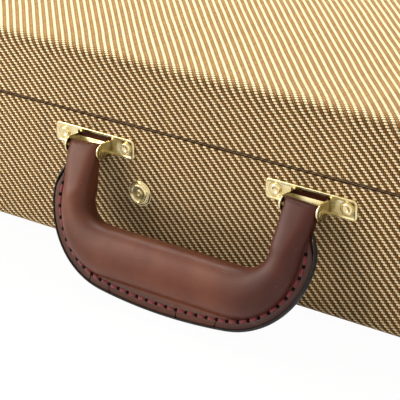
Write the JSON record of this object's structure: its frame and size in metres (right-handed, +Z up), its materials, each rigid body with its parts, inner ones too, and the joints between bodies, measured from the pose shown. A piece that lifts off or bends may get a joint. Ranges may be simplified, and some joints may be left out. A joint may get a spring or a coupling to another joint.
{
  "type": "bass guitar case",
  "caption": "Rectangular hard case for a bass guitar, cloth covered, with a lid hinged along the back, draw latches, padded inside and a leather handle on brass brackets.",
  "frame": {"origin": "middle of the object's bounding box in X and Y, on the plane that the bottom feet stand on", "axes": "+X along the case towards the body end, seen from the front the viewer's right; -Y out of the front wall with the handle; +Z up, out of the lid"},
  "size_m": [1.2, 0.4219, 0.1304],
  "materials": {
    "tweed": "twill weave with slanting stripes",
    "plywood": "bare",
    "plush": "short pile",
    "lip_plush": "wooden lip in short pile",
    "padding": "plush over foam",
    "pocket_board": "board in short pile",
    "brass": "polished, a little worn",
    "steel": "plain",
    "rubber": "matt",
    "leather": "worn, satin",
    "core": "moulded",
    "binding": "dark edge paint"
  },
  "bodies": {
    "base": {"base_frame": "plywood", "base_panel": "plywood", "base_covering": "tweed", "base_liner": "plush", "rim_lip": "lip_plush", "floor_pad": "padding", "side_block_front": "padding", "side_block_rear": "padding", "tail_block": "padding", "neck_cradle": "padding", "pocket_walls": "pocket_board", "head_block": "padding", "bottom_feet": "rubber", "bottom_foot_screws": "steel", "spine_feet": "rubber", "spine_foot_screws": "steel", "bracket_left": "brass", "bracket_right": "brass", "bracket_rivets": "brass", "bracket_washers": "steel", "cup_washers": "brass", "cradle_rivets": "brass", "handle_pins": "brass", "latch_plates": "brass", "latch_rivets": "brass", "latch_stubs": "steel", "hinge_base_leaves": "brass", "hinge_base_rivets": "brass", "hinge_pins": "steel"},
    "lid": {"lid_frame": "plywood", "lid_panel": "plywood", "lid_covering": "tweed", "lid_liner": "plush", "lid_pad": "padding", "strikes": "brass", "strike_rivets": "brass", "hinge_lid_leaves": "brass", "hinge_lid_rivets": "brass"},
    "handle": {"grip_cover": "leather", "grip_core": "core", "edge_binding": "binding"},
    "lever_1": {"latch_lever_1": "brass", "latch_bail_pin_1": "steel"},
    "bail_1": {"latch_bail_1": "brass"},
    "lever_2": {"latch_lever_2": "brass", "latch_bail_pin_2": "steel"},
    "bail_2": {"latch_bail_2": "brass"},
    "lever_3": {"latch_lever_3": "brass", "latch_bail_pin_3": "steel"},
    "bail_3": {"latch_bail_3": "brass"},
    "lever_4": {"latch_lever_4": "brass", "latch_bail_pin_4": "steel"},
    "bail_4": {"latch_bail_4": "brass"},
    "key": {"key_plug": "brass", "key_cam": "steel"}
  },
  "joints": [
    {"name": "lid_hinge", "type": "hinge", "parent": "base", "child": "lid", "pos_m": [0, 0.20402, 0.0904], "axis": [-1, 0, 0], "range_deg": [0, 105]},
    {"name": "handle_swing", "type": "hinge", "parent": "base", "child": "handle", "pos_m": [0, -0.17778, 0.0739], "axis": [-1, 0, 0], "range_deg": [-17, 148]},
    {"name": "lever_1_pivot", "type": "hinge", "parent": "base", "child": "lever_1", "pos_m": [-0.47, -0.17248, 0.0814], "axis": [-1, 0, 0], "range_deg": [-30, 70]},
    {"name": "bail_1_pivot", "type": "hinge", "parent": "lever_1", "child": "bail_1", "pos_m": [-0.47, -0.17612, 0.07311], "axis": [-1, 0, 0], "range_deg": [-112, 50]},
    {"name": "lever_2_pivot", "type": "hinge", "parent": "base", "child": "lever_2", "pos_m": [-0.23, -0.17248, 0.0814], "axis": [-1, 0, 0], "range_deg": [-30, 70]},
    {"name": "bail_2_pivot", "type": "hinge", "parent": "lever_2", "child": "bail_2", "pos_m": [-0.23, -0.17612, 0.07311], "axis": [-1, 0, 0], "range_deg": [-112, 50]},
    {"name": "lever_3_pivot", "type": "hinge", "parent": "base", "child": "lever_3", "pos_m": [0.23, -0.17248, 0.0814], "axis": [-1, 0, 0], "range_deg": [-30, 70]},
    {"name": "bail_3_pivot", "type": "hinge", "parent": "lever_3", "child": "bail_3", "pos_m": [0.23, -0.17612, 0.07311], "axis": [-1, 0, 0], "range_deg": [-112, 50]},
    {"name": "lever_4_pivot", "type": "hinge", "parent": "base", "child": "lever_4", "pos_m": [0.47, -0.17248, 0.0814], "axis": [-1, 0, 0], "range_deg": [-30, 70]},
    {"name": "bail_4_pivot", "type": "hinge", "parent": "lever_4", "child": "bail_4", "pos_m": [0.47, -0.17612, 0.07311], "axis": [-1, 0, 0], "range_deg": [-112, 50]},
    {"name": "key_turn", "type": "hinge", "parent": "lever_3", "child": "key", "pos_m": [0.23, -0.18249, 0.06408], "axis": [0, -0.866, 0.5], "range_deg": [0, 90]}
  ],
  "couplings": [
    {"joint": "bail_1_pivot", "follows": "lever_1_pivot", "ratio": -1.5},
    {"joint": "bail_2_pivot", "follows": "lever_2_pivot", "ratio": -1.5},
    {"joint": "bail_3_pivot", "follows": "lever_3_pivot", "ratio": -1.5},
    {"joint": "bail_4_pivot", "follows": "lever_4_pivot", "ratio": -1.5}
  ]
}
